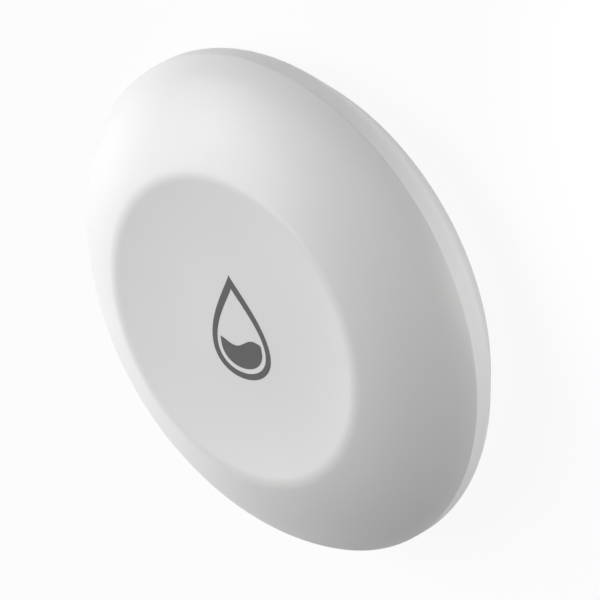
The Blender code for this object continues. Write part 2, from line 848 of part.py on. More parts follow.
def make_battery_holder():
    """A shallow tray that opens downwards, with a slot for the contact and two finger notches."""
    profile = [
        (0.0, holder_top),
        (holder_outer_radius, holder_top),
        (holder_outer_radius, holder_foot),
        (holder_inner_radius, holder_foot),
        (holder_inner_radius, holder_underside),
        (0.0, holder_underside),
    ]
    tray = turned_mesh("battery_holder", profile, battery_steps)
    holder = add_object("battery_holder", tray, holder_plastic)
    past = holder_outer_radius + cut_spare
    wall_bottom = holder_foot - cut_spare
    slot_half = 0.5 * contact_width + seat_gap
    slot_inside = holder_inner_radius - cut_spare
    slot_low = (-past, -slot_half, wall_bottom)
    slot_high = (-slot_inside, slot_half, holder_underside)
    slot = box_mesh("holder_slot", slot_low, slot_high)
    notch_half = 0.5 * holder_notch_width
    notch_top = holder_foot + holder_notch_depth
    notch = box_mesh("holder_notch", (-notch_half, -past, wall_bottom), (notch_half, past, notch_top))
    combine(holder, add_object("holder_slot", slot), "DIFFERENCE")
    combine(holder, add_object("holder_notch", notch), "DIFFERENCE")


def make_coin_cell():
    """A crimped can, plus side down, with the narrower cap on top."""
    can_top = cell_top - cell_cap_height
    cap_foot = (cell_cap_radius, can_top)
    crimp_corner = (cell_radius, can_top)
    can_corner = (cell_radius, cell_bottom)
    middle = (0.0, cell_bottom)
    profile = [(0.0, cell_top), (cell_cap_radius, cell_top), cap_foot]
    profile += rounded(cap_foot, crimp_corner, can_corner, cell_round, cell_round_steps)
    profile += rounded(crimp_corner, can_corner, middle, cell_round, cell_round_steps)
    profile.append(middle)
    add_object("coin_cell", turned_mesh("coin_cell", profile, battery_steps), cell_steel)


def make_strip(name, path):
    """A bent metal strip: a line of (x, z) points drawn out to its width, then thickened."""
    sheet = bmesh.new()
    half = 0.5 * contact_width
    points = [sheet.verts.new((across, -half, height)) for across, height in path]
    edges = []
    for first, second in zip(points, points[1:]):
        edges.append(sheet.edges.new((first, second)))
    drawn = bmesh.ops.extrude_edge_only(sheet, edges=edges)
    moved = [item for item in drawn["geom"] if isinstance(item, bmesh.types.BMVert)]
    bmesh.ops.translate(sheet, vec=(0.0, contact_width, 0.0), verts=moved)
    mesh = bpy.data.meshes.new(name)
    sheet.to_mesh(mesh)
    sheet.free()
    strip = add_object(name, mesh, spring_metal)
    thicken = strip.modifiers.new("Sheet metal", "SOLIDIFY")
    thicken.thickness = contact_thickness
    thicken.offset = 0.0
    thicken.use_even_offset = True


def make_battery_contacts():
    """One strip passes outside the holder and under the cell. The other lies over the cell."""
    foot_end = contact_side + contact_foot
    under_end = cell_radius - contact_reach
    positive_path = [
        (foot_end, contact_foot_height),
        (contact_side, contact_foot_height),
        (contact_side, positive_height),
        (under_end, positive_height),
    ]
    negative_path = [
        (-foot_end, contact_foot_height),
        (-contact_side, contact_foot_height),
        (-contact_side, negative_height),
        (-under_end, negative_height),
    ]
    make_strip("positive_contact", positive_path)
    make_strip("negative_contact", negative_path)


def make_block(name, length, width, height, finish, rounding, place):
    """A part that is soldered to the top of the board."""
    low = (-0.5 * length, -0.5 * width, 0.0)
    high = (0.5 * length, 0.5 * width, height)
    block = add_object(name, box_mesh(name, low, high), finish)
    block.location = (place[0], place[1], board_top + seat_gap)
    add_bevel(block, rounding)


def make_board_parts():
    """The light is in the middle, under the thin spot of the cover, and the rest lie round it."""
    beside_light = 0.5 * light_length + part_spacing
    before_light = 0.5 * light_width + part_spacing
    below_shield = shield_shift - 0.5 * shield_width - part_spacing
    make_block(
        "status_light", light_length, light_width, light_height, light_resin, part_rounding,
        (0.0, 0.0),
    )
    make_block(
        "radio_shield", shield_length, shield_width, shield_height, shield_tin, shield_rounding,
        (-beside_light - 0.5 * shield_length, shield_shift),
    )
    make_block(
        "chip_antenna", antenna_length, antenna_width, antenna_height, antenna_ceramic, part_rounding,
        (-part_spacing - 0.5 * antenna_length, board_radius - antenna_inset),
    )
    make_block(
        "storage_capacitor", capacitor_length, capacitor_width, capacitor_height, chip_resin, part_rounding,
        (beside_light + 0.5 * capacitor_length, before_light + 0.5 * capacitor_width),
    )
    make_block(
        "sensing_chip", chip_side, chip_side, chip_height, chip_resin, part_rounding,
        (beside_light + 0.5 * chip_side, -before_light - 0.5 * chip_side),
    )
    make_block(
        "clock_crystal", crystal_length, crystal_width, crystal_height, shield_tin, part_rounding,
        (-beside_light - 0.5 * crystal_length, below_shield - 0.5 * crystal_width),
    )


def main():
    make_top_cover()
    make_base_shell()
    make_seal_ring()
    make_probes()
    make_case_screws()
    make_circuit_board()
    make_board_screws()
    make_battery_holder()
    make_coin_cell()
    make_battery_contacts()
    make_board_parts()


main()
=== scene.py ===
import math

import bmesh
import bpy
from mathutils import Matrix, Vector


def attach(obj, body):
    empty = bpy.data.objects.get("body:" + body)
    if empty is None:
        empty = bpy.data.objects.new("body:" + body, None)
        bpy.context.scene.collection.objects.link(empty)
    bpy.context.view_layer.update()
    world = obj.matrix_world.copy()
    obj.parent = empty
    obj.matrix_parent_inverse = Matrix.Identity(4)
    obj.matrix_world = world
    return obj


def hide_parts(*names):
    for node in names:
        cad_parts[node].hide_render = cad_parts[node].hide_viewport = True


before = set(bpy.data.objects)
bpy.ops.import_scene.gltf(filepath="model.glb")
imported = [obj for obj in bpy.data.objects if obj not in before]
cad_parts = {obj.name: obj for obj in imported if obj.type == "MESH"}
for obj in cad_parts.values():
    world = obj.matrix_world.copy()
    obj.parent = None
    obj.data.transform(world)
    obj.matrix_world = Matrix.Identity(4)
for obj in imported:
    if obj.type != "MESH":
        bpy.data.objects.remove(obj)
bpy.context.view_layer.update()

mm = 0.001
pi = math.pi
mergeDistance = 0.0005 * mm  # points nearer than this are one


# A colour given as sRGB hex, in the linear values that the shaders take
def hexLinear(text):
    channels = [int(text[i:i + 2], 16) / 255.0 for i in (1, 3, 5)]
    linear = [c / 12.92 if c <= 0.04045 else ((c + 0.055) / 1.055) ** 2.4 for c in channels]
    return (*linear, 1.0)


# The scale of a texture whose features are this many metres across
def patternScale(size):
    return 1.0 / size


# One node with its settings. An input that is a socket is linked, and any other is a value.
def addNode(tree, kind, inputs=None, **settings):
    node = tree.nodes.new(kind)
    for name, value in settings.items():
        setattr(node, name, value)
    for key, value in (inputs or {}).items():
        if isinstance(value, bpy.types.NodeSocket):
            tree.links.new(value, node.inputs[key])
        else:
            node.inputs[key].default_value = value
    return node


def newMaterial(name):
    material = bpy.data.materials.new(name)
    material.use_nodes = True
    tree = material.node_tree
    tree.nodes.clear()
    return material, tree


# A colour, roughness and bump that follow one noise on the piece's own coordinates
def patchySurface(name, finish, **shader):
    material, tree = newMaterial(name)
    place = addNode(tree, "ShaderNodeTexCoord")
    patch = addNode(tree, "ShaderNodeTexNoise", {"Vector": place.outputs["Object"],
                    "Scale": patternScale(finish["patch"]), "Detail": finish["detail"]})
    tone = addNode(tree, "ShaderNodeMix", {0: patch.outputs[0], 6: hexLinear(finish["low"]),
                   7: hexLinear(finish["high"])}, data_type="RGBA")
    rough = addNode(tree, "ShaderNodeMapRange", {"Value": patch.outputs[0],
                    "To Min": finish["rough"][0], "To Max": finish["rough"][1]})
    bump = addNode(tree, "ShaderNodeBump", {"Height": patch.outputs[0], "Strength": 0.5,
                   "Distance": finish["relief"]})
    surface = addNode(tree, "ShaderNodeBsdfPrincipled", {"Base Color": tone.outputs[2],
                      "Roughness": rough.outputs[0], "Normal": bump.outputs[0], **shader})
    addNode(tree, "ShaderNodeOutputMaterial", {"Surface": surface.outputs[0]})
    return material


# Moulded ABS, white pigment: the spark eroded mould leaves a very fine grain and a wide soft sheen,
# and the melt's flow leaves faint clouds in the gloss.
mouldedAbs = {
    "shade": "#ebebea",
    "cloudShade": "#e8e8e8",
    "cloud": 9.0 * mm,
    "grain": 0.16 * mm,   # a real grain of 0.05 mm wouldn't show at this size
    "relief": 0.004 * mm,
    "rough": (0.42, 0.50),
}


def whiteAbs(name):
    material, tree = newMaterial(name)
    place = addNode(tree, "ShaderNodeTexCoord")
    cloud = addNode(tree, "ShaderNodeTexNoise", {"Vector": place.outputs["Object"],
                    "Scale": patternScale(mouldedAbs["cloud"]), "Detail": 2.0})
    grain = addNode(tree, "ShaderNodeTexNoise", {"Vector": place.outputs["Object"],
                    "Scale": patternScale(mouldedAbs["grain"]), "Detail": 3.0})
    tone = addNode(tree, "ShaderNodeMix", {0: cloud.outputs[0], 6: hexLinear(mouldedAbs["cloudShade"]),
                   7: hexLinear(mouldedAbs["shade"])}, data_type="RGBA")
    rough = addNode(tree, "ShaderNodeMapRange", {"Value": cloud.outputs[0],
                    "To Min": mouldedAbs["rough"][0], "To Max": mouldedAbs["rough"][1]})
    bump = addNode(tree, "ShaderNodeBump", {"Height": grain.outputs[0], "Strength": 0.5,
                   "Distance": mouldedAbs["relief"]})
    surface = addNode(tree, "ShaderNodeBsdfPrincipled", {"Base Color": tone.outputs[2], "IOR": 1.54,
                      "Roughness": rough.outputs[0], "Normal": bump.outputs[0]})
    addNode(tree, "ShaderNodeOutputMaterial", {"Surface": surface.outputs[0]})
    return material


# Turned stainless steel: fine rings round the axis, whose radius is the turnRadius attribute
turnedFinish = {
    "feed": 0.12 * mm,  # the lathe's real feed of 0.05 mm wouldn't show
    "relief": 0.002 * mm,
    "stain": 0.9 * mm,
    "low": "#b9b8b5",
    "high": "#cfcecb",
    "rough": (0.20, 0.34),
}


def turnedStainless():
    material, tree = newMaterial("turnedStainless")
    radius = addNode(tree, "ShaderNodeAttribute", attribute_name="turnRadius")
    turns = addNode(tree, "ShaderNodeMath", {0: radius.outputs["Fac"], 1: 2.0 * pi / turnedFinish["feed"]},
                    operation="MULTIPLY")
    rings = addNode(tree, "ShaderNodeMath", {0: turns.outputs[0]}, operation="SINE")
    place = addNode(tree, "ShaderNodeTexCoord")
    stain = addNode(tree, "ShaderNodeTexNoise", {"Vector": place.outputs["Object"],
                    "Scale": patternScale(turnedFinish["stain"]), "Detail": 4.0})
    tone = addNode(tree, "ShaderNodeMix", {0: stain.outputs[0], 6: hexLinear(turnedFinish["low"]),
                   7: hexLinear(turnedFinish["high"])}, data_type="RGBA")
    rough = addNode(tree, "ShaderNodeMapRange", {"Value": stain.outputs[0],
                    "To Min": turnedFinish["rough"][0], "To Max": turnedFinish["rough"][1]})
    bump = addNode(tree, "ShaderNodeBump", {"Height": rings.outputs[0], "Strength": 0.5,
                   "Distance": turnedFinish["relief"]})
    surface = addNode(tree, "ShaderNodeBsdfPrincipled", {"Base Color": tone.outputs[2], "Metallic": 1.0,
                      "Roughness": rough.outputs[0], "Normal": bump.outputs[0]})
    addNode(tree, "ShaderNodeOutputMaterial", {"Surface": surface.outputs[0]})
    return material


# Glass laminate under green solder mask: copper tracks lie under it as paler raised lines
boardFinish = {
    "pitch": 1.0 * mm,
    "track": 0.14,        # width of a track, and the islands between tracks, all in pitches
    "island": (5.0, 1.2),
    "relief": 0.035 * mm,
    "mask": ("#0e5530", "#115c35"),
    "overTrack": "#1b7a47",
}


def maskedLaminate():
    material, tree = newMaterial("maskedLaminate")
    place = addNode(tree, "ShaderNodeTexCoord")
    length, width = boardFinish["island"]
    dark, pale = boardFinish["mask"]
    tracks = addNode(tree, "ShaderNodeTexBrick", {"Vector": place.outputs["Object"],
                     "Scale": patternScale(boardFinish["pitch"]), "Mortar Size": boardFinish["track"],
                     "Brick Width": length, "Row Height": width, "Color1": hexLinear(dark),
                     "Color2": hexLinear(pale), "Mortar": hexLinear(boardFinish["overTrack"])})
    bump = addNode(tree, "ShaderNodeBump", {"Height": tracks.outputs["Fac"], "Strength": 0.5,
                   "Distance": boardFinish["relief"]})
    surface = addNode(tree, "ShaderNodeBsdfPrincipled", {"Base Color": tracks.outputs["Color"],
                      "Roughness": 0.32, "Coat Weight": 0.4, "Coat Roughness": 0.12,
                      "Normal": bump.outputs[0]})
    addNode(tree, "ShaderNodeOutputMaterial", {"Surface": surface.outputs[0]})
    return material


# The other finishes: patch is the size of their unevenness and relief its height
finishes = {
    # two coats of grey pad printing ink, a little duller than the plastic
    "padInk": {"low": "#5b5b5c", "high": "#616162", "patch": 0.7 * mm, "detail": 4.0,
               "rough": (0.50, 0.62), "relief": 0.003 * mm},
    # zinc plate over steel: bluish, with soft patches from the bath
    "zinc": {"low": "#a8aaad", "high": "#c3c5c7", "patch": 0.8 * mm, "detail": 5.0,
             "rough": (0.28, 0.42), "relief": 0.004 * mm},
    # nickel plate over pressed steel: warmer and brighter than zinc
    "nickel": {"low": "#b7b2a8", "high": "#cdc9c0", "patch": 1.5 * mm, "detail": 5.0,
               "rough": (0.18, 0.30), "relief": 0.003 * mm},
    # hot tinned sheet: pale, with slow ripples
    "tin": {"low": "#bcbcbc", "high": "#d0d0cf", "patch": 1.2 * mm, "detail": 5.0,
            "rough": (0.26, 0.38), "relief": 0.004 * mm},
    # moulded silicone rubber: black and dull, with a dusty grain
    "silicone": {"low": "#1b1b1b", "high": "#232323", "patch": 0.25 * mm, "detail": 4.0,
                 "rough": (0.60, 0.75), "relief": 0.006 * mm},
    # moulded black nylon
    "nylon": {"low": "#141414", "high": "#1c1c1c", "patch": 0.2 * mm, "detail": 4.0,
              "rough": (0.45, 0.58), "relief": 0.005 * mm},
    # moulded epoxy resin of a chip, matt from its mould
    "resin": {"low": "#111112", "high": "#1a1a1b", "patch": 0.08 * mm, "detail": 4.0,
              "rough": (0.45, 0.60), "relief": 0.003 * mm},
    # fired ceramic, off white
    "ceramic": {"low": "#d6d3c8", "high": "#e2dfd5", "patch": 0.12 * mm, "detail": 4.0,
                "rough": (0.35, 0.48), "relief": 0.003 * mm},
    # the light's cast resin, pale yellow from its phosphor
    "lightResin": {"low": "#e6e2cc", "high": "#efecd9", "patch": 0.4 * mm, "detail": 2.0,
                   "rough": (0.22, 0.34), "relief": 0.002 * mm},
}

coverAbs = whiteAbs("whiteMouldedAbsCover")
baseAbs = whiteAbs("whiteMouldedAbsBase")
padInkGrey = patchySurface("greyPadInk", finishes["padInk"], IOR=1.5)
stainless = turnedStainless()
zincPlated = patchySurface("zincPlatedSteel", finishes["zinc"], Metallic=1.0)
nickelPlated = patchySurface("nickelPlatedSteel", finishes["nickel"], Metallic=1.0)
tinnedSteel = patchySurface("tinnedSteelSheet", finishes["tin"], Metallic=1.0)
silicone = patchySurface("blackSilicone", finishes["silicone"], IOR=1.41)
blackNylon = patchySurface("blackMouldedNylon", finishes["nylon"], IOR=1.53)
chipResin = patchySurface("blackChipResin", finishes["resin"], IOR=1.55)
paleCeramic = patchySurface("paleCeramic", finishes["ceramic"], IOR=1.7)
lightResin = patchySurface("paleLightResin", finishes["lightResin"], IOR=1.53)
laminate = maskedLaminate()
print("materials made")


# Shapes

# An arc in a turned profile. An angle of 0 is straight up and a positive one leans outwards.
def arcPoints(centre, radius, first, last, steps):
    points = []
    for index in range(steps + 1):
        angle = first + (last - first) * index / steps
        points.append(Vector((centre[0] + radius * math.sin(angle), centre[1] + radius * math.cos(angle))))
    return points


# The arc that takes the place of a corner between its two neighbours
def roundedCorner(before, corner, after, radius, steps):
    corner = Vector(corner)
    inward = (Vector(before) - corner).normalized()
    outward = (Vector(after) - corner).normalized()
    half = 0.5 * inward.angle(outward)
    middle = corner + (inward + outward).normalized() * (radius / math.sin(half))
    start = corner + inward * (radius / math.tan(half)) - middle
    end = corner + outward * (radius / math.tan(half)) - middle
    first = math.atan2(start.x, start.y)
    last = math.atan2(end.x, end.y)
    if last - first > pi:
        last -= 2.0 * pi
    if first - last > pi:
        last += 2.0 * pi
    return arcPoints(middle, radius, first, last, steps)


# A profile in which the corners named in radii are rounded
def softened(corners, radii, steps):
    points = [Vector(corners[0])]
    for index in range(1, len(corners) - 1):
        radius = radii.get(index, 0.0)
        if radius:
            points += roundedCorner(corners[index - 1], corners[index], corners[index + 1], radius, steps)
        else:
            points.append(Vector(corners[index]))
    points.append(Vector(corners[-1]))
    return points


# The profile of a plain round bar, in mm
def bar(radius, low, high):
    return [Vector((0.0, high)), Vector((radius, high)), Vector((radius, low)), Vector((0.0, low))]


# An object of this mesh, shaded smooth except at creases sharper than this many degrees
def newPiece(name, mesh, *materials, crease=30.0):
    mesh.name = name
    mesh.materials.clear()
    for material in materials:
        mesh.materials.append(material)
    if crease:
        mesh.shade_smooth()
        mesh.set_sharp_from_angle(angle=math.radians(crease))
    piece = bpy.data.objects.new(name, mesh)
    bpy.context.scene.collection.objects.link(piece)
    return piece


# The evaluated shape of an object, as a mesh. The object goes.
def plainMesh(source):
    bpy.context.view_layer.update()
    graph = bpy.context.evaluated_depsgraph_get()
    mesh = bpy.data.meshes.new_from_object(source.evaluated_get(graph))
    mesh.transform(source.matrix_world)
    bpy.data.objects.remove(source, do_unlink=True)
    return mesh


# Cuts or joins each tool into the target, one after another
def combined(target, tools, operation):
    for tool in tools:
        step = target.modifiers.new(tool.name, "BOOLEAN")
        step.object = tool
        step.operation = operation
        step.solver = "EXACT"
    mesh = plainMesh(target)
    for tool in tools:
        bpy.data.objects.remove(tool, do_unlink=True)
    return mesh


# A geometry node tree with these inputs, and the sockets that give them
def newTree(name, inputs):
    tree = bpy.data.node_groups.new(name, "GeometryNodeTree")
    tree.interface.new_socket("Geometry", in_out="OUTPUT", socket_type="NodeSocketGeometry")
    for label, kind in inputs.items():
        tree.interface.new_socket(label, in_out="INPUT", socket_type=kind)
    return tree, addNode(tree, "NodeGroupInput").outputs


# The end of a tree: real geometry in its material
def endTree(tree, geometry, finish):
    real = addNode(tree, "GeometryNodeRealizeInstances", {"Geometry": geometry})
    done = addNode(tree, "GeometryNodeSetMaterial", {"Geometry": real.outputs[0], "Material": finish})
    addNode(tree, "NodeGroupOutput", {"Geometry": done.outputs[0]})


# Turns a profile about Z: a grid with a row for each point of the profile, bent into circles.
# Each point keeps its distance from the axis as turnRadius.
def turningTree():
    tree, given = newTree("profileTurnedAboutZ", {"Profile": "NodeSocketObject", "Facets": "NodeSocketInt",
                          "First turn": "NodeSocketFloat", "Finish": "NodeSocketMaterial"})
    line = addNode(tree, "GeometryNodeObjectInfo", {"Object": given["Profile"]}).outputs["Geometry"]
    size = addNode(tree, "GeometryNodeAttributeDomainSize", {"Geometry": line})
    across = addNode(tree, "FunctionNodeIntegerMath", {0: given["Facets"], 1: 1}, operation="ADD").outputs[0]
    grid = addNode(tree, "GeometryNodeMeshGrid", {"Vertices X": size.outputs["Point Count"],
                   "Vertices Y": across})
    index = addNode(tree, "GeometryNodeInputIndex").outputs[0]
    row = addNode(tree, "FunctionNodeIntegerMath", {0: index, 1: across}, operation="DIVIDE_FLOOR")
    column = addNode(tree, "FunctionNodeIntegerMath", {0: index, 1: across}, operation="MODULO")
    place = addNode(tree, "GeometryNodeInputPosition").outputs[0]
    point = addNode(tree, "GeometryNodeSampleIndex", {"Geometry": line, "Value": place,
                    "Index": row.outputs[0]}, data_type="FLOAT_VECTOR").outputs[0]
    share = addNode(tree, "ShaderNodeMath", {0: column.outputs[0], 1: given["Facets"]}, operation="DIVIDE")
    angle = addNode(tree, "ShaderNodeMath", {0: share.outputs[0], 1: 2.0 * pi, 2: given["First turn"]},
                    operation="MULTIPLY_ADD")
    turned = addNode(tree, "ShaderNodeVectorRotate", {"Vector": point, "Angle": angle.outputs[0]},
                     rotation_type="Z_AXIS")
    bent = addNode(tree, "GeometryNodeSetPosition", {"Geometry": grid.outputs["Mesh"],
                   "Position": turned.outputs[0]})
    radius = addNode(tree, "ShaderNodeSeparateXYZ", {0: point})
    marked = addNode(tree, "GeometryNodeStoreNamedAttribute", {"Geometry": bent.outputs[0],
                     "Name": "turnRadius", "Value": radius.outputs["X"]}, data_type="FLOAT", domain="POINT")
    closed = addNode(tree, "GeometryNodeMergeByDistance", {"Geometry": marked.outputs[0],
                     "Distance": mergeDistance})
    endTree(tree, closed.outputs[0], given["Finish"])
    return tree


# Copies of a piece round a circle, each facing outwards and then given a loose turn of its own
def ringTree():
    tree, given = newTree("piecesInARing", {"Piece": "NodeSocketObject", "Count": "NodeSocketInt",
                          "Ring radius": "NodeSocketFloat", "First angle": "NodeSocketFloat",
                          "Step angle": "NodeSocketFloat", "Loose turn": "NodeSocketFloat",
                          "Finish": "NodeSocketMaterial"})
    index = addNode(tree, "GeometryNodeInputIndex").outputs[0]
    angle = addNode(tree, "ShaderNodeMath", {0: index, 1: given["Step angle"], 2: given["First angle"]},
                    operation="MULTIPLY_ADD").outputs[0]
    reach = addNode(tree, "ShaderNodeCombineXYZ", {"X": given["Ring radius"]})
    place = addNode(tree, "ShaderNodeVectorRotate", {"Vector": reach.outputs[0], "Angle": angle},
                    rotation_type="Z_AXIS")
    points = addNode(tree, "GeometryNodePoints", {"Count": given["Count"], "Position": place.outputs[0]})
    piece = addNode(tree, "GeometryNodeObjectInfo", {"Object": given["Piece"]})
    loose = addNode(tree, "FunctionNodeRandomValue", {3: given["Loose turn"], "Seed": 7}, data_type="FLOAT")
    turn = addNode(tree, "ShaderNodeMath", {0: angle, 1: loose.outputs[1]}, operation="ADD")
    facing = addNode(tree, "ShaderNodeCombineXYZ", {"Z": turn.outputs[0]})
    copies = addNode(tree, "GeometryNodeInstanceOnPoints", {"Points": points.outputs[0],
                     "Instance": piece.outputs["Geometry"], "Rotation": facing.outputs[0]})
    endTree(tree, copies.outputs[0], given["Finish"])
    return tree


turnedProfile = turningTree()
ringOfPieces = ringTree()


# What a tree makes of these inputs and of the pattern among them, as a plain mesh. The pattern goes.
def grownMesh(name, tree, pattern, values):
    holder = bpy.data.objects.new(name, bpy.data.meshes.new(name))
    bpy.context.scene.collection.objects.link(holder)
    grower = holder.modifiers.new(tree.name, "NODES")
    grower.node_group = tree
    for socket in tree.interface.items_tree:
        if socket.in_out == "INPUT":
            grower[socket.identifier] = values[socket.name]
    mesh = plainMesh(holder)
    bpy.data.objects.remove(pattern, do_unlink=True)
    solid = bmesh.new()
    solid.from_mesh(mesh)
    bmesh.ops.recalc_face_normals(solid, faces=solid.faces)
    solid.to_mesh(mesh)
    solid.free()
    return mesh


# Where the first corner of a turned piece lies, in facets, and how far a cutter reaches past a face, in mm.
# The starts differ so that no corner of a tool lies on an edge of the piece that it cuts or joins.
firstCorner = {"body": 0.0, "boss": 0.5, "hole": 0.25, "limit": 0.3}
overshoot = 1.0


# Turns a profile of (radius, height) points in mm, which starts and ends on the axis
def turnedPiece(name, profile, facets, material, kind="body"):
    line = bpy.data.meshes.new(name)
    line.from_pydata([(radius * mm, 0.0, height * mm) for radius, height in profile], [], [])
    pattern = newPiece(name + "Profile", line, crease=0.0)
    values = {
        "Profile": pattern,
        "Facets": facets,
        "First turn": firstCorner[kind] * 2.0 * pi / facets,
        "Finish": material,
    }
    return newPiece(name, grownMesh(name, turnedProfile, pattern, values), material)


# The pattern piece repeated round its circle
def placeRing(name, pattern, places, material, looseTurn=0.0):
    values = {
        "Piece": pattern,
        "Count": places["count"],
        "Ring radius": places["radius"] * mm,
        "First angle": math.radians(places["first"]),
        "Step angle": math.radians(places["step"]),
        "Loose turn": looseTurn,
        "Finish": material,
    }
    return newPiece(name, grownMesh(name, ringOfPieces, pattern, values), material)


# The housing, in mm, with the sizes of the solids
housing = {
    "bandRadius": 30.0,
    "underside": 1.0,
    "floorTop": 2.6,
    "seam": 7.0,
    "top": 14.8,
    "wall": 1.8,
    "dishFlat": 6.6,          # the printed middle of the dish is flat
    "dishDepth": 0.75,
    "lipRadius": 18.3,
    "lipRound": 3.4,
    "crownRound": 28.2,
    "shoulderRound": 10.0,
    "edgeSlope": math.radians(61.0),
    "edgeRound": 0.02,        # the moulded edges at the seam are nearly sharp
    "seamGap": 0.01,          # the halves close up to a hairline
    "innerRimDrop": 0.2,
    "bandHeight": 2.2,
    "bandRound": 2.0,
    "undercut": math.radians(43.0),
    "undersideRound": 1.0,
    "innerRadius": 25.4,
    "floorRound": 0.5,
    "rimRound": 0.15,
    "channel": (26.7, 28.5, 4.2),  # inner and outer radius, and its floor
    "tongue": (27.0, 28.2, 6.0),   # inner and outer radius, and its end
    "lightPocket": (2.4, 13.25),   # radius and top
    "facets": 240,
    "flatRings": 4,
    "outsideSteps": (24, 20, 30, 20),  # steps of the cove, lip, crown and shoulder arcs
    "insideSteps": (10, 8, 20),        # the same under the dome, as far as the crown
    "edgeSteps": 3,
    "cornerSteps": 10,
}


# Centres of the lip, crown and shoulder arcs, each of which runs into the next
def domeCircles():
    h = housing
    lip = Vector((h["lipRadius"], h["top"] - h["lipRound"]))
    edge = Vector((math.sin(h["edgeSlope"]), math.cos(h["edgeSlope"])))
    shoulder = Vector((h["bandRadius"], h["seam"])) - h["shoulderRound"] * edge
    toLip = h["crownRound"] - h["lipRound"]
    toShoulder = h["crownRound"] - h["shoulderRound"]
    line = shoulder - lip
    along = (line.length_squared + toLip ** 2 - toShoulder ** 2) / (2.0 * line.length)
    across = math.sqrt(toLip ** 2 - along ** 2)
    direction = line.normalized()
    crown = lip + direction * along + Vector((direction.y, -direction.x)) * across
    return lip, crown, shoulder


lipCentre, crownCentre, shoulderCentre = domeCircles()
lipSlope = math.atan2(lipCentre.x - crownCentre.x, lipCentre.y - crownCentre.y)
shoulderSlope = math.atan2(shoulderCentre.x - crownCentre.x, shoulderCentre.y - crownCentre.y)
dishFloor = housing["top"] - housing["dishDepth"]
coveWidth = housing["lipRadius"] - housing["dishFlat"]
coveSlope = 2.0 * math.atan(housing["dishDepth"] / coveWidth)
coveRound = coveWidth / math.sin(coveSlope) - housing["lipRound"]
coveCentre = Vector((housing["dishFlat"], dishFloor + coveRound))


# The flat of the dish and the cove up to its lip, or a surface at this depth under them
def dishPoints(depth, firstRadius, steps):
    width = housing["dishFlat"] - firstRadius
    count = housing["flatRings"]
    flat = [Vector((firstRadius + width * index / count, dishFloor - depth)) for index in range(count)]
    return flat + arcPoints(coveCentre, coveRound + depth, pi, pi - coveSlope, steps)


# The inside of the dome at this depth under its outer face, out to a last radius
def underDome(depth, firstRadius, lastRadius):
    coveSteps, lipSteps, crownSteps = housing["insideSteps"]
    under = housing["crownRound"] - depth
    end = math.asin((lastRadius - crownCentre.x) / under)
    points = dishPoints(depth, firstRadius, coveSteps)
    points += arcPoints(lipCentre, housing["lipRound"] - depth, -coveSlope, lipSlope, lipSteps)[1:]
    return points + arcPoints(crownCentre, under, lipSlope, end, crownSteps)[1:]


# The cover in section: its outer face, the tongue at its rim, then the inside back to the axis
def coverProfile():
    h = housing
    coveSteps, lipSteps, crownSteps, shoulderSteps = h["outsideSteps"]
    points = dishPoints(0.0, 0.0, coveSteps)
    points += arcPoints(lipCentre, h["lipRound"], -coveSlope, lipSlope, lipSteps)[1:]
    points += arcPoints(crownCentre, h["crownRound"], lipSlope, shoulderSlope, crownSteps)[1:]
    shoulder = arcPoints(shoulderCentre, h["shoulderRound"], shoulderSlope, h["edgeSlope"], shoulderSteps)[1:]
    points += shoulder[:-1]
    tongueInner, tongueOuter, tongueEnd = h["tongue"]
    rim = (tongueOuter, h["seam"])
    points += roundedCorner(shoulder[-2], shoulder[-1], rim, h["edgeRound"], h["edgeSteps"])
    points += [Vector(rim), Vector((tongueOuter, tongueEnd)), Vector((tongueInner, tongueEnd))]
    pocketRadius, pocketTop = h["lightPocket"]
    points += reversed(underDome(h["wall"], pocketRadius, tongueInner))
    return points + [Vector((pocketRadius, pocketTop)), Vector((0.0, pocketTop))]


screwPlaces = {"radius": 22.0, "first": 0.0, "step": 90.0, "count": 4}
boardPlaces = {"radius": 20.5, "first": 67.5, "step": 135.0, "count": 3}
probePlaces = {"radius": 18.45, "first": 45.0, "step": 90.0, "count": 4}

# Moulded under the dome, in mm: radius and foot of a post, radius and end of its pilot hole
posts = {
    "screw": (2.7, 5.1, 1.55, 10.6),
    "board": (2.2, 10.0, 1.3, 12.5),
    "ribHalf": 0.5,
    "ribDraught": 0.92,       # width of a rib's foot, as a share of its root
    "ribHeights": (7.3, 8.7),
    "facets": 48,
    "limitFacets": 211,       # of the dome that trims the posts, unlike the dome's own
}


def barPieces(name, radius, low, high, places, kind):
    one = turnedPiece("bar", bar(radius, low, high), posts["facets"], coverAbs, kind)
    return placeRing(name, one, places, coverAbs)


# A rib from each screw post out to the wall, as a box with a slight draught
def makeRibs():
    low, high = posts["ribHeights"]
    half = posts["ribHalf"]
    end = housing["tongue"][1] - screwPlaces["radius"]
    box = bmesh.new()
    bmesh.ops.create_cube(box, size=1.0)
    for point in box.verts:
        wide = half if point.co.z > 0.0 else posts["ribDraught"] * half
        point.co = (end * mm if point.co.x > 0.0 else 0.0, math.copysign(wide, point.co.y) * mm,
                    (high if point.co.z > 0.0 else low) * mm)
    mesh = bpy.data.meshes.new("rib")
    box.to_mesh(mesh)
    box.free()
    return placeRing("ribs", newPiece("rib", mesh), screwPlaces, coverAbs)


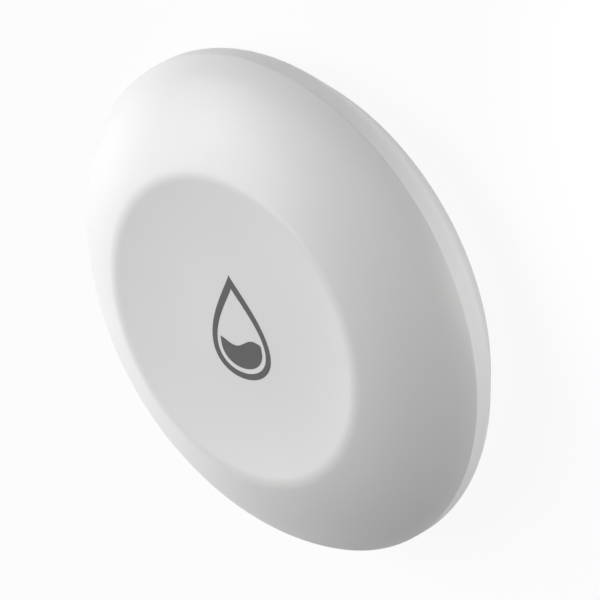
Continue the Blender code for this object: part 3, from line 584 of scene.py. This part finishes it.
def makeCover():
    h = housing
    cover = turnedPiece("coverDome", coverProfile(), h["facets"], coverAbs)
    roots = underDome(0.5 * h["wall"], 0.0, h["tongue"][1])  # posts and ribs end in the middle of the wall
    roots += [Vector((h["tongue"][1], 0.0)), Vector((0.0, 0.0))]
    added = []
    holes = []
    for name, places in (("screw", screwPlaces), ("board", boardPlaces)):
        radius, foot, holeRadius, holeEnd = posts[name]
        added.append(barPieces(name + "Posts", radius, foot, h["top"], places, "boss"))
        holes.append(barPieces(name + "Pilots", holeRadius, foot - overshoot, holeEnd, places, "hole"))
    added.append(makeRibs())
    trimmed = []
    for piece in added:
        name = piece.name
        limit = turnedPiece("limit", roots, posts["limitFacets"], coverAbs, "limit")
        trimmed.append(newPiece(name, combined(piece, [limit], "INTERSECT"), coverAbs))
    joined = newPiece("coverDome", combined(cover, trimmed, "UNION"), coverAbs)
    return newPiece("coverDome", combined(joined, holes, "DIFFERENCE"), coverAbs)


cover = makeCover()
print("cover made")


# The base in section: its floor, the seal's channel, the band and the slope under it
def baseProfile():
    h = housing
    rim = h["seam"] - h["seamGap"]
    innerRim = h["seam"] - h["innerRimDrop"]
    channelInner, channelOuter, channelFloor = h["channel"]
    bandFoot = (h["bandRadius"], h["seam"] - h["bandHeight"])
    slopeReach = (bandFoot[1] - h["underside"]) * math.tan(h["undercut"])
    corners = [
        (0.0, h["floorTop"]),
        (h["innerRadius"], h["floorTop"]),
        (h["innerRadius"], innerRim),
        (channelInner, innerRim),
        (channelInner, channelFloor),
        (channelOuter, channelFloor),
        (channelOuter, rim),
        (h["bandRadius"], rim),
        bandFoot,
        (h["bandRadius"] - slopeReach, h["underside"]),
        (0.0, h["underside"]),
    ]
    radii = {1: h["floorRound"], 3: h["rimRound"], 7: h["edgeRound"], 8: h["bandRound"], 9: h["undersideRound"]}
    return softened(corners, radii, h["cornerSteps"])


# Moulded into the floor, in mm: radius and top of a pocket from below, radius of its hole, top of its boss
pockets = {
    "probe": (2.9, 2.7, 1.55, 3.9),
    "screw": (2.5, 3.4, 1.55, 4.8),
    "mouthRound": 0.25,
    "mouthRise": 0.8,   # of its centre over the underside in radii, so that the arc crosses the underside
    "mouthEnd": 0.85,   # of a half turn
    "mouthSteps": 6,
    "bossWall": 1.2,
    "facets": 72,
}


# A stepped hole from below, with a rounded mouth
def pocketProfile(pocketRadius, pocketTop, holeRadius, bossTop):
    mouth = pockets["mouthRound"]
    above = bossTop + overshoot
    below = housing["underside"] - overshoot
    points = [Vector((0.0, above)), Vector((holeRadius, above)), Vector((holeRadius, pocketTop))]
    points.append(Vector((pocketRadius, pocketTop)))
    middle = (pocketRadius + mouth, housing["underside"] + pockets["mouthRise"] * mouth)
    points += arcPoints(middle, mouth, -0.5 * pi, -pockets["mouthEnd"] * pi, pockets["mouthSteps"])
    return points + [Vector((points[-1].x, below)), Vector((0.0, below))]


def makeBase():
    base = turnedPiece("baseShell", baseProfile(), housing["facets"], baseAbs)
    root = 0.5 * (housing["underside"] + housing["floorTop"])
    bosses = []
    cutters = []
    for name, places in (("probe", probePlaces), ("screw", screwPlaces)):
        pocketRadius, pocketTop, holeRadius, bossTop = pockets[name]
        bossProfile = bar(pocketRadius + pockets["bossWall"], root, bossTop)
        boss = turnedPiece("boss", bossProfile, pockets["facets"], baseAbs, "boss")
        cutter = turnedPiece("cutter", pocketProfile(*pockets[name]), pockets["facets"], baseAbs, "hole")
        bosses.append(placeRing(name + "Bosses", boss, places, baseAbs))
        cutters.append(placeRing(name + "Cutters", cutter, places, baseAbs))
    joined = newPiece("baseShell", combined(base, bosses, "UNION"), baseAbs)
    return newPiece("baseShell", combined(joined, cutters, "DIFFERENCE"), baseAbs)


base = makeBase()
print("base made")


# The printed drop, in mm
drop = {
    "half": 6.4,         # half of its length
    "halfWidth": 4.5,
    "taper": 1.3,        # more of it makes the tip longer and sharper
    "line": 0.75,
    "tipLine": 1.64,
    "waterGap": 0.57,
    "waterTipGap": 0.86,
    "wave": (-1.9, 0.46, 5.7, 0.9),  # middle, height, length and place of the trough
    "film": 0.02,                    # two coats of ink stand this far above the plastic
    "root": 0.05,                    # and the film's under face lies in it
    "steps": 256,
    "lineSteps": 4,
    "waterSteps": 1440,
    "waterColumns": 120,
    "waterRows": 12,
    "columnReach": 0.03,   # points of the outline this near to a column belong to it
    "flatFoot": 0.5,       # a column shorter than this ends at the wave and not at the outline
}


# A point of a drop's outline. Its tip is at the top, where turn is 0.
def dropCurve(top, bottom, halfWidth, turn):
    widest = math.acos(-drop["taper"] / (2.0 + drop["taper"]))
    scale = halfWidth / (math.sin(widest) * math.sin(0.5 * widest) ** drop["taper"])
    across = scale * math.sin(turn) * abs(math.sin(0.5 * turn)) ** drop["taper"]
    return across, 0.5 * (top + bottom) + 0.5 * (top - bottom) * math.cos(turn)


# The water's edge
def waveAt(across):
    middle, height, length, trough = drop["wave"]
    return middle - height * math.cos(2.0 * pi * (across + trough) / length)


# A film of ink on the flat of the dish from rows of (across, along) points
def gridFilm(solid, rows, closed):
    layers = []
    for height in (dishFloor + drop["film"], dishFloor - drop["root"]):
        layers.append([[solid.verts.new((x * mm, y * mm, height * mm)) for x, y in row] for row in rows])
    top, under = layers
    count = len(rows)
    ends = count if closed else count - 1
    width = len(rows[0])
    for i in range(ends):
        j = (i + 1) % count
        for k in range(width - 1):
            solid.faces.new((top[i][k], top[j][k], top[j][k + 1], top[i][k + 1]))
            solid.faces.new((under[i][k], under[i][k + 1], under[j][k + 1], under[j][k]))
        for k in (0, width - 1):
            solid.faces.new((top[i][k], top[j][k], under[j][k], under[i][k]))
    if not closed:
        for i in (0, count - 1):
            for k in range(width - 1):
                solid.faces.new((top[i][k], top[i][k + 1], under[i][k + 1], under[i][k]))


def makeDrop():
    d = drop
    half = d["half"]
    solid = bmesh.new()
    line = []
    for index in range(d["steps"]):
        turn = 2.0 * pi * index / d["steps"]
        outer = Vector(dropCurve(half, -half, d["halfWidth"], turn))
        inner = Vector(dropCurve(half - d["tipLine"], d["line"] - half, d["halfWidth"] - d["line"], turn))
        line.append([tuple(outer.lerp(inner, step / d["lineSteps"])) for step in range(d["lineSteps"] + 1)])
    gridFilm(solid, line, True)
    top = half - d["tipLine"] - d["waterTipGap"]
    bottom = -half + d["line"] + d["waterGap"]
    width = d["halfWidth"] - d["line"] - d["waterGap"]
    turns = [2.0 * pi * index / d["waterSteps"] for index in range(d["waterSteps"])]
    whole = [dropCurve(top, bottom, width, turn) for turn in turns]
    wet = [point for point in whole if point[1] < waveAt(point[0])]
    left = min(wet)[0]
    right = max(wet)[0]
    water = []
    for index in range(d["waterColumns"] + 1):
        share = 0.5 - 0.5 * math.cos(pi * index / d["waterColumns"])
        across = left + (right - left) * share
        near = [point[1] for point in wet if abs(point[0] - across) < d["columnReach"]]
        low = min(near)
        side = max(near)
        high = min(waveAt(across), side) if side - low > d["flatFoot"] else waveAt(across)
        rise = high - low
        water.append([(across, low + rise * step / d["waterRows"]) for step in range(d["waterRows"] + 1)])
    gridFilm(solid, water, False)
    bmesh.ops.remove_doubles(solid, verts=solid.verts, dist=mergeDistance)
    bmesh.ops.recalc_face_normals(solid, faces=solid.faces)
    mesh = bpy.data.meshes.new("printedDrop")
    solid.to_mesh(mesh)
    solid.free()
    return newPiece("printedDrop", mesh, padInkGrey)


printedDrop = makeDrop()
print("drop printed")


# A probe contact, in mm: radii of its head, flat tip and shank, and heights
probe = {
    "head": 2.6,
    "headHeight": 1.3,
    "tip": 1.8,
    "shank": 1.25,
    "top": 6.3,
    "chamfer": 0.2,
    "edge": 0.12,
    "edgeSteps": 4,
    "footSteps": 16,
    "tipRings": (0.6, 0.3, 0.0),  # radii of the rings of faces in the tip, as shares of the tip's
    "facets": 96,
}


def makeProbes():
    p = probe
    foot = p["head"] - p["tip"]
    shoulder = Vector((p["shank"], p["headHeight"]))
    profile = [Vector((0.0, p["top"])), Vector((p["shank"] - p["chamfer"], p["top"]))]
    profile += [Vector((p["shank"], p["top"] - p["chamfer"])), shoulder]
    rim = (p["head"], p["headHeight"])
    profile += roundedCorner(shoulder, rim, (p["head"], foot), p["edge"], p["edgeSteps"])
    profile += arcPoints((p["tip"], foot), foot, 0.5 * pi, pi, p["footSteps"])
    profile += [Vector((share * p["tip"], 0.0)) for share in p["tipRings"]]
    one = turnedPiece("probe", profile, p["facets"], stainless)
    return placeRing("probeContacts", one, probePlaces, stainless)


probes = makeProbes()

# A case screw, in mm: radii of its head, shank and point, and heights
screw = {
    "head": 2.2,
    "headTop": 3.1,
    "headHeight": 1.5,
    "crown": 0.55,
    "crownSteps": 10,
    "edge": 0.12,
    "edgeSteps": 3,
    "shank": 1.25,
    "point": 0.3,
    "tip": 10.1,
    "slotWidth": 0.62,
    "slotReach": 1.25,
    "slotDepth": 0.8,
    "slotTaper": (0.45, 0.75),  # length and width of a slot's bottom, as shares of its mouth's
    "looseTurn": 0.5 * pi,      # each screw stops at an angle of its own
    "facets": 64,
}


# One bar of the cross recess, which narrows towards its bottom
def slotBar(name, turn):
    s = screw
    slot = bmesh.new()
    bmesh.ops.create_cube(slot, size=1.0)
    for point in slot.verts:
        length, width = s["slotTaper"] if point.co.z > 0.0 else (1.0, 1.0)
        point.co.x *= 2.0 * s["slotReach"] * mm * length
        point.co.y *= s["slotWidth"] * mm * width
        point.co.z = (s["headTop"] - s["headHeight"]) * mm + 2.0 * s["slotDepth"] * mm * point.co.z
    bmesh.ops.rotate(slot, cent=(0.0, 0.0, 0.0), matrix=Matrix.Rotation(turn, 3, "Z"), verts=slot.verts)
    mesh = bpy.data.meshes.new(name)
    slot.to_mesh(mesh)
    slot.free()
    return newPiece(name, mesh, crease=0.0)


def makeScrews():
    s = screw
    bottom = s["headTop"] - s["headHeight"]
    neck = Vector((s["shank"], s["headTop"]))
    rim = (s["head"], s["headTop"])
    profile = [Vector((0.0, s["tip"])), Vector((s["point"], s["tip"]))]
    profile += [Vector((s["shank"], s["tip"] - s["shank"])), neck]
    profile += roundedCorner(neck, rim, (s["head"], bottom), s["edge"], s["edgeSteps"])
    crown = (s["head"] - s["crown"], bottom + s["crown"])
    profile += arcPoints(crown, s["crown"], 0.5 * pi, pi, s["crownSteps"])
    profile += [Vector((0.0, bottom))]
    blank = turnedPiece("screw", profile, s["facets"], zincPlated)
    mesh = combined(blank, [slotBar("slotAlong", 0.0), slotBar("slotAcross", 0.5 * pi)], "DIFFERENCE")
    return placeRing("caseScrews", newPiece("screw", mesh), screwPlaces, zincPlated, s["looseTurn"])


screws = makeScrews()
print("metal pieces placed")


# Finishes of the CAD solids, by the start of their names
nodeFinishes = {
    "seal_ring": silicone,
    "probe_seal_": silicone,
    "circuit_board": laminate,
    "battery_holder": blackNylon,
    "coin_cell": nickelPlated,
    "positive_contact": nickelPlated,
    "negative_contact": nickelPlated,
    "probe_spring_": nickelPlated,
    "probe_nut_": zincPlated,
    "board_screw_": zincPlated,
    "radio_shield": tinnedSteel,
    "clock_crystal": tinnedSteel,
    "sensing_chip": chipResin,
    "storage_capacitor": chipResin,
    "chip_antenna": paleCeramic,
    "status_light": lightResin,
    "top_cover": coverAbs,
    "base_shell": baseAbs,
    "probe_contact_": stainless,
    "case_screw_": zincPlated,
}
for name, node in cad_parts.items():
    finish = next(value for key, value in nodeFinishes.items() if name.startswith(key))
    for place in node.material_slots:
        place.material = finish


# Sets a piece on the frame's one body and hides the solids that it stands for
def wears(piece, slot, *nodes):
    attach(piece, "root")
    if nodes:
        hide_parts(*nodes)


wears(cover, "cover_plastic", "top_cover")
wears(base, "base_plastic", "base_shell")
wears(printedDrop, "drop_ink")
wears(probes, "probe_steel", *[f"probe_contact_{number}" for number in range(1, 5)])
wears(screws, "screw_steel", *[f"case_screw_{number}" for number in range(1, 5)])
print("pieces seated on the frame")


# The studio, in metres: a sheet of white paper round which soft discs of light stand
studio = {
    "paper": "#e1e1e1",
    "paperSize": 12.0,
    "paperGlow": 0.92,      # share of plain white that the camera sees in the paper
    "paperLight": 0.35,     # the same for the light that the paper throws back on the puck
    "worldLevel": 0.0,      # light of the room round the lamps
    "lamps": {              # discs: azimuth and elevation in degrees, then watts
        "windowUpperLeft": (150.0, 38.0, 5.9),
        "windowLeft": (180.0, 38.0, 2.25),
        "highLeft": (180.0, 58.0, 3.4),
        "highUpperLeft": (135.0, 58.0, 3.05),
        "lowLeft": (180.0, 6.0, 2.0),
        "lowFrontLeft": (210.0, 6.0, 1.3),
        "lowRight": (0.0, 6.0, 6.4),
    },
    "lampDistance": 1.2,
    "lampSize": 0.45,
    # A spot on the paper at the right, whose bounce lights the band from below
    "bounce": {"azimuth": 15.0, "reach": 0.085, "height": 0.9, "beam": 0.05, "watts": 22.0, "blend": 0.35,
               "source": 0.01},
}


def makePaper():
    material, tree = newMaterial("whitePaperSweep")
    matt = addNode(tree, "ShaderNodeBsdfDiffuse", {"Color": hexLinear(studio["paper"])})
    white = addNode(tree, "ShaderNodeEmission", {"Color": (1.0, 1.0, 1.0, 1.0), "Strength": 1.0})
    seen = addNode(tree, "ShaderNodeLightPath").outputs["Is Camera Ray"]
    share = addNode(tree, "ShaderNodeMapRange",
                    {"Value": seen, "To Min": studio["paperLight"], "To Max": studio["paperGlow"]})
    mixed = addNode(tree, "ShaderNodeMixShader", {0: share.outputs[0], 1: matt.outputs[0],
                    2: white.outputs[0]})
    addNode(tree, "ShaderNodeOutputMaterial", {"Surface": mixed.outputs[0]})
    sheet = bmesh.new()
    bmesh.ops.create_grid(sheet, x_segments=1, y_segments=1, size=0.5 * studio["paperSize"])
    mesh = bpy.data.meshes.new("paper")
    sheet.to_mesh(mesh)
    sheet.free()
    paper = newPiece("paper", mesh, material, crease=0.0)


def makeWorld():
    world = bpy.data.worlds.new("studioRoom")
    bpy.context.scene.world = world
    world.use_nodes = True
    tree = world.node_tree
    tree.nodes.clear()
    ray = addNode(tree, "ShaderNodeLightPath").outputs
    seen = addNode(tree, "ShaderNodeMath", {0: ray["Is Camera Ray"], 1: ray["Is Transmission Ray"]},
                   operation="MAXIMUM")
    level = addNode(tree, "ShaderNodeMapRange",
                    {"Value": seen.outputs[0], "To Min": studio["worldLevel"], "To Max": 1.0})
    room = addNode(tree, "ShaderNodeBackground", {"Color": (1.0, 1.0, 1.0, 1.0),
                   "Strength": level.outputs[0]})
    addNode(tree, "ShaderNodeOutputWorld", {"Surface": room.outputs[0]})


# A lamp at a place, which shines against the direction away
def addLamp(name, kind, place, away, watts):
    data = bpy.data.lights.new(name, kind)
    data.energy = watts
    lamp = bpy.data.objects.new(name, data)
    lamp.location = place
    lamp.rotation_mode = "QUATERNION"
    lamp.rotation_quaternion = (-away).to_track_quat("-Z", "Y")
    bpy.context.scene.collection.objects.link(lamp)
    return data


def makeLamps():
    for name, (azimuth, elevation, watts) in studio["lamps"].items():
        turn = math.radians(azimuth)
        rise = math.radians(elevation)
        away = Vector((math.cos(turn) * math.cos(rise), math.sin(turn) * math.cos(rise), math.sin(rise)))
        disc = addLamp(name, "AREA", away * studio["lampDistance"], away, watts)
        disc.shape = "DISK"
        disc.size = studio["lampSize"]
    bounce = studio["bounce"]
    turn = math.radians(bounce["azimuth"])
    reach = bounce["reach"]
    place = Vector((math.cos(turn) * reach, math.sin(turn) * reach, bounce["height"]))
    spot = addLamp("paperBounce", "SPOT", place, Vector((0.0, 0.0, 1.0)), bounce["watts"])
    spot.spot_size = 2.0 * math.atan(bounce["beam"] / bounce["height"])
    spot.spot_blend = bounce["blend"]
    spot.shadow_soft_size = bounce["source"]


# The photograph's camera, from its outline, crease and drop
camera = {
    "right": Vector((0.700928, -0.166473, -0.693532)),
    "up": Vector((-0.162796, 0.909368, -0.382814)),
    "aim": Vector((1.4894, 0.0472, 5.5814)),  # mm, the point in the middle of the picture
    "distance": 2.3749,
    "lens": 1277.24,
    "sensor": 36.0,
    "clip": (0.1, 20.0),
}


def makeCamera():
    data = bpy.data.cameras.new("photoCamera")
    data.lens = camera["lens"]
    data.sensor_width = camera["sensor"]
    data.clip_start, data.clip_end = camera["clip"]
    placed = bpy.data.objects.new("photoCamera", data)
    bpy.context.scene.collection.objects.link(placed)
    right = camera["right"].normalized()
    back = right.cross(camera["up"]).normalized()
    up = back.cross(right)
    turn = Matrix((right, up, back)).transposed()
    placed.matrix_world = Matrix.Translation(camera["aim"] * mm + back * camera["distance"]) @ turn.to_4x4()
    bpy.context.scene.camera = placed


makePaper()
makeWorld()
makeLamps()
makeCamera()
bpy.context.scene.view_settings.view_transform = "Standard"
print("studio set")
